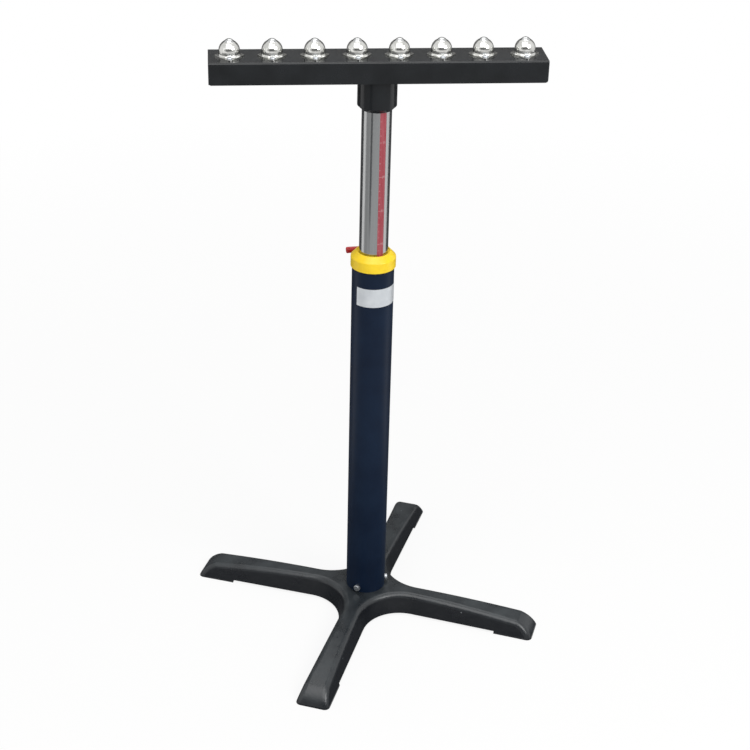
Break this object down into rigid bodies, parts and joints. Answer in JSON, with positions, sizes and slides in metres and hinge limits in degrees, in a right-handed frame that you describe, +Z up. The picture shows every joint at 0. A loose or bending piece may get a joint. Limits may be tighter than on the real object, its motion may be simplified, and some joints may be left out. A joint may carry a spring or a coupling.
{
  "type": "ball roller stand",
  "caption": "Height-adjustable floor stand: cast cross base, telescopic column with a lever clamp, and a channel head with a row of ball transfer units.",
  "frame": {"origin": "on the column's axis, at the floor", "axes": "+Z up, +X along the head to the right as seen from the front, +Y towards the back, where the clamp lever is"},
  "size_m": [0.5238, 0.5238, 0.9176],
  "materials": {
    "cast_iron_black": "black semi-gloss paint over a sand casting",
    "powder_coat_black": "black powder coat",
    "sheet_black": "glossy black paint",
    "label_silver": "silvery white film, bare",
    "collar_yellow": "moulded yellow plastic",
    "bush_plastic": "moulded natural plastic",
    "chrome": "polished chrome plate",
    "scale_red": "printed red film",
    "pressed_steel": "bright plated pressing",
    "steel": "machined steel",
    "zinc_steel": "bright zinc plate",
    "brass": "turned brass",
    "handle_red": "moulded red plastic"
  },
  "bodies": {
    "stand": {"base_casting": "cast_iron_black", "base_screws": "zinc_steel", "outer_tube": "powder_coat_black", "column_label": "label_silver", "lock_collar": "collar_yellow", "top_bush": "bush_plastic", "thread_insert": "zinc_steel"},
    "guide": {"guide_bush": "bush_plastic"},
    "mast": {"inner_tube": "chrome", "height_scale": "scale_red", "tube_plug": "bush_plastic", "bush_rings": "steel", "head_sleeve": "sheet_black", "head_channel": "sheet_black", "head_welds": "sheet_black", "ball_housings": "pressed_steel", "race_cups": "steel", "load_balls": "steel", "flange_screws": "zinc_steel", "flange_nuts": "zinc_steel", "spring_washers": "zinc_steel"},
    "clamp_pad_body": {"clamp_pad": "brass"},
    "clamp_screw_body": {"clamp_screw": "zinc_steel", "lever_cap_screw": "zinc_steel", "lever_spring": "steel"},
    "lever": {"lever_handle": "handle_red"},
    "ball_1_body": {"ball_1": "chrome"},
    "ball_2_body": {"ball_2": "chrome"},
    "ball_3_body": {"ball_3": "chrome"},
    "ball_4_body": {"ball_4": "chrome"},
    "ball_5_body": {"ball_5": "chrome"},
    "ball_6_body": {"ball_6": "chrome"},
    "ball_7_body": {"ball_7": "chrome"},
    "ball_8_body": {"ball_8": "chrome"}
  },
  "joints": [
    {"name": "height_slide", "type": "slide", "parent": "stand", "child": "guide", "axis": [0, 0, 1], "range_m": [-0.208, 0.212]},
    {"name": "head_swivel", "type": "hinge", "parent": "guide", "child": "mast", "pos_m": [0, 0, 0.591], "axis": [0, 0, 1], "continuous": true},
    {"name": "clamp_travel", "type": "slide", "parent": "stand", "child": "clamp_pad_body", "axis": [0, 1, 0], "range_m": [0, 0.001]},
    {"name": "clamp_turn", "type": "hinge", "parent": "clamp_pad_body", "child": "clamp_screw_body", "pos_m": [0, 0.041, 0.591], "axis": [0, 1, 0], "range_deg": [0, 360]},
    {"name": "lever_lift", "type": "slide", "parent": "clamp_screw_body", "child": "lever", "axis": [0, 1, 0], "range_m": [0, 0.0035], "stiffness_N_per_m": 500, "springref_m": -0.002, "deforming": ["lever_spring"]},
    {"name": "ball_1_roll", "type": "hinge", "parent": "mast", "child": "ball_1_body", "pos_m": [-0.1967, 0, 0.90966], "axis": [1, 0, 0], "continuous": true},
    {"name": "ball_2_roll", "type": "hinge", "parent": "mast", "child": "ball_2_body", "pos_m": [-0.1405, 0, 0.90966], "axis": [1, 0, 0], "continuous": true},
    {"name": "ball_3_roll", "type": "hinge", "parent": "mast", "child": "ball_3_body", "pos_m": [-0.0843, 0, 0.90966], "axis": [1, 0, 0], "continuous": true},
    {"name": "ball_4_roll", "type": "hinge", "parent": "mast", "child": "ball_4_body", "pos_m": [-0.0281, 0, 0.90966], "axis": [1, 0, 0], "continuous": true},
    {"name": "ball_5_roll", "type": "hinge", "parent": "mast", "child": "ball_5_body", "pos_m": [0.0281, 0, 0.90966], "axis": [1, 0, 0], "continuous": true},
    {"name": "ball_6_roll", "type": "hinge", "parent": "mast", "child": "ball_6_body", "pos_m": [0.0843, 0, 0.90966], "axis": [1, 0, 0], "continuous": true},
    {"name": "ball_7_roll", "type": "hinge", "parent": "mast", "child": "ball_7_body", "pos_m": [0.1405, 0, 0.90966], "axis": [1, 0, 0], "continuous": true},
    {"name": "ball_8_roll", "type": "hinge", "parent": "mast", "child": "ball_8_body", "pos_m": [0.1967, 0, 0.90966], "axis": [1, 0, 0], "continuous": true}
  ],
  "couplings": [
    {"joint": "clamp_travel", "follows": "clamp_turn", "m_per_rad": 0.00015915}
  ]
}
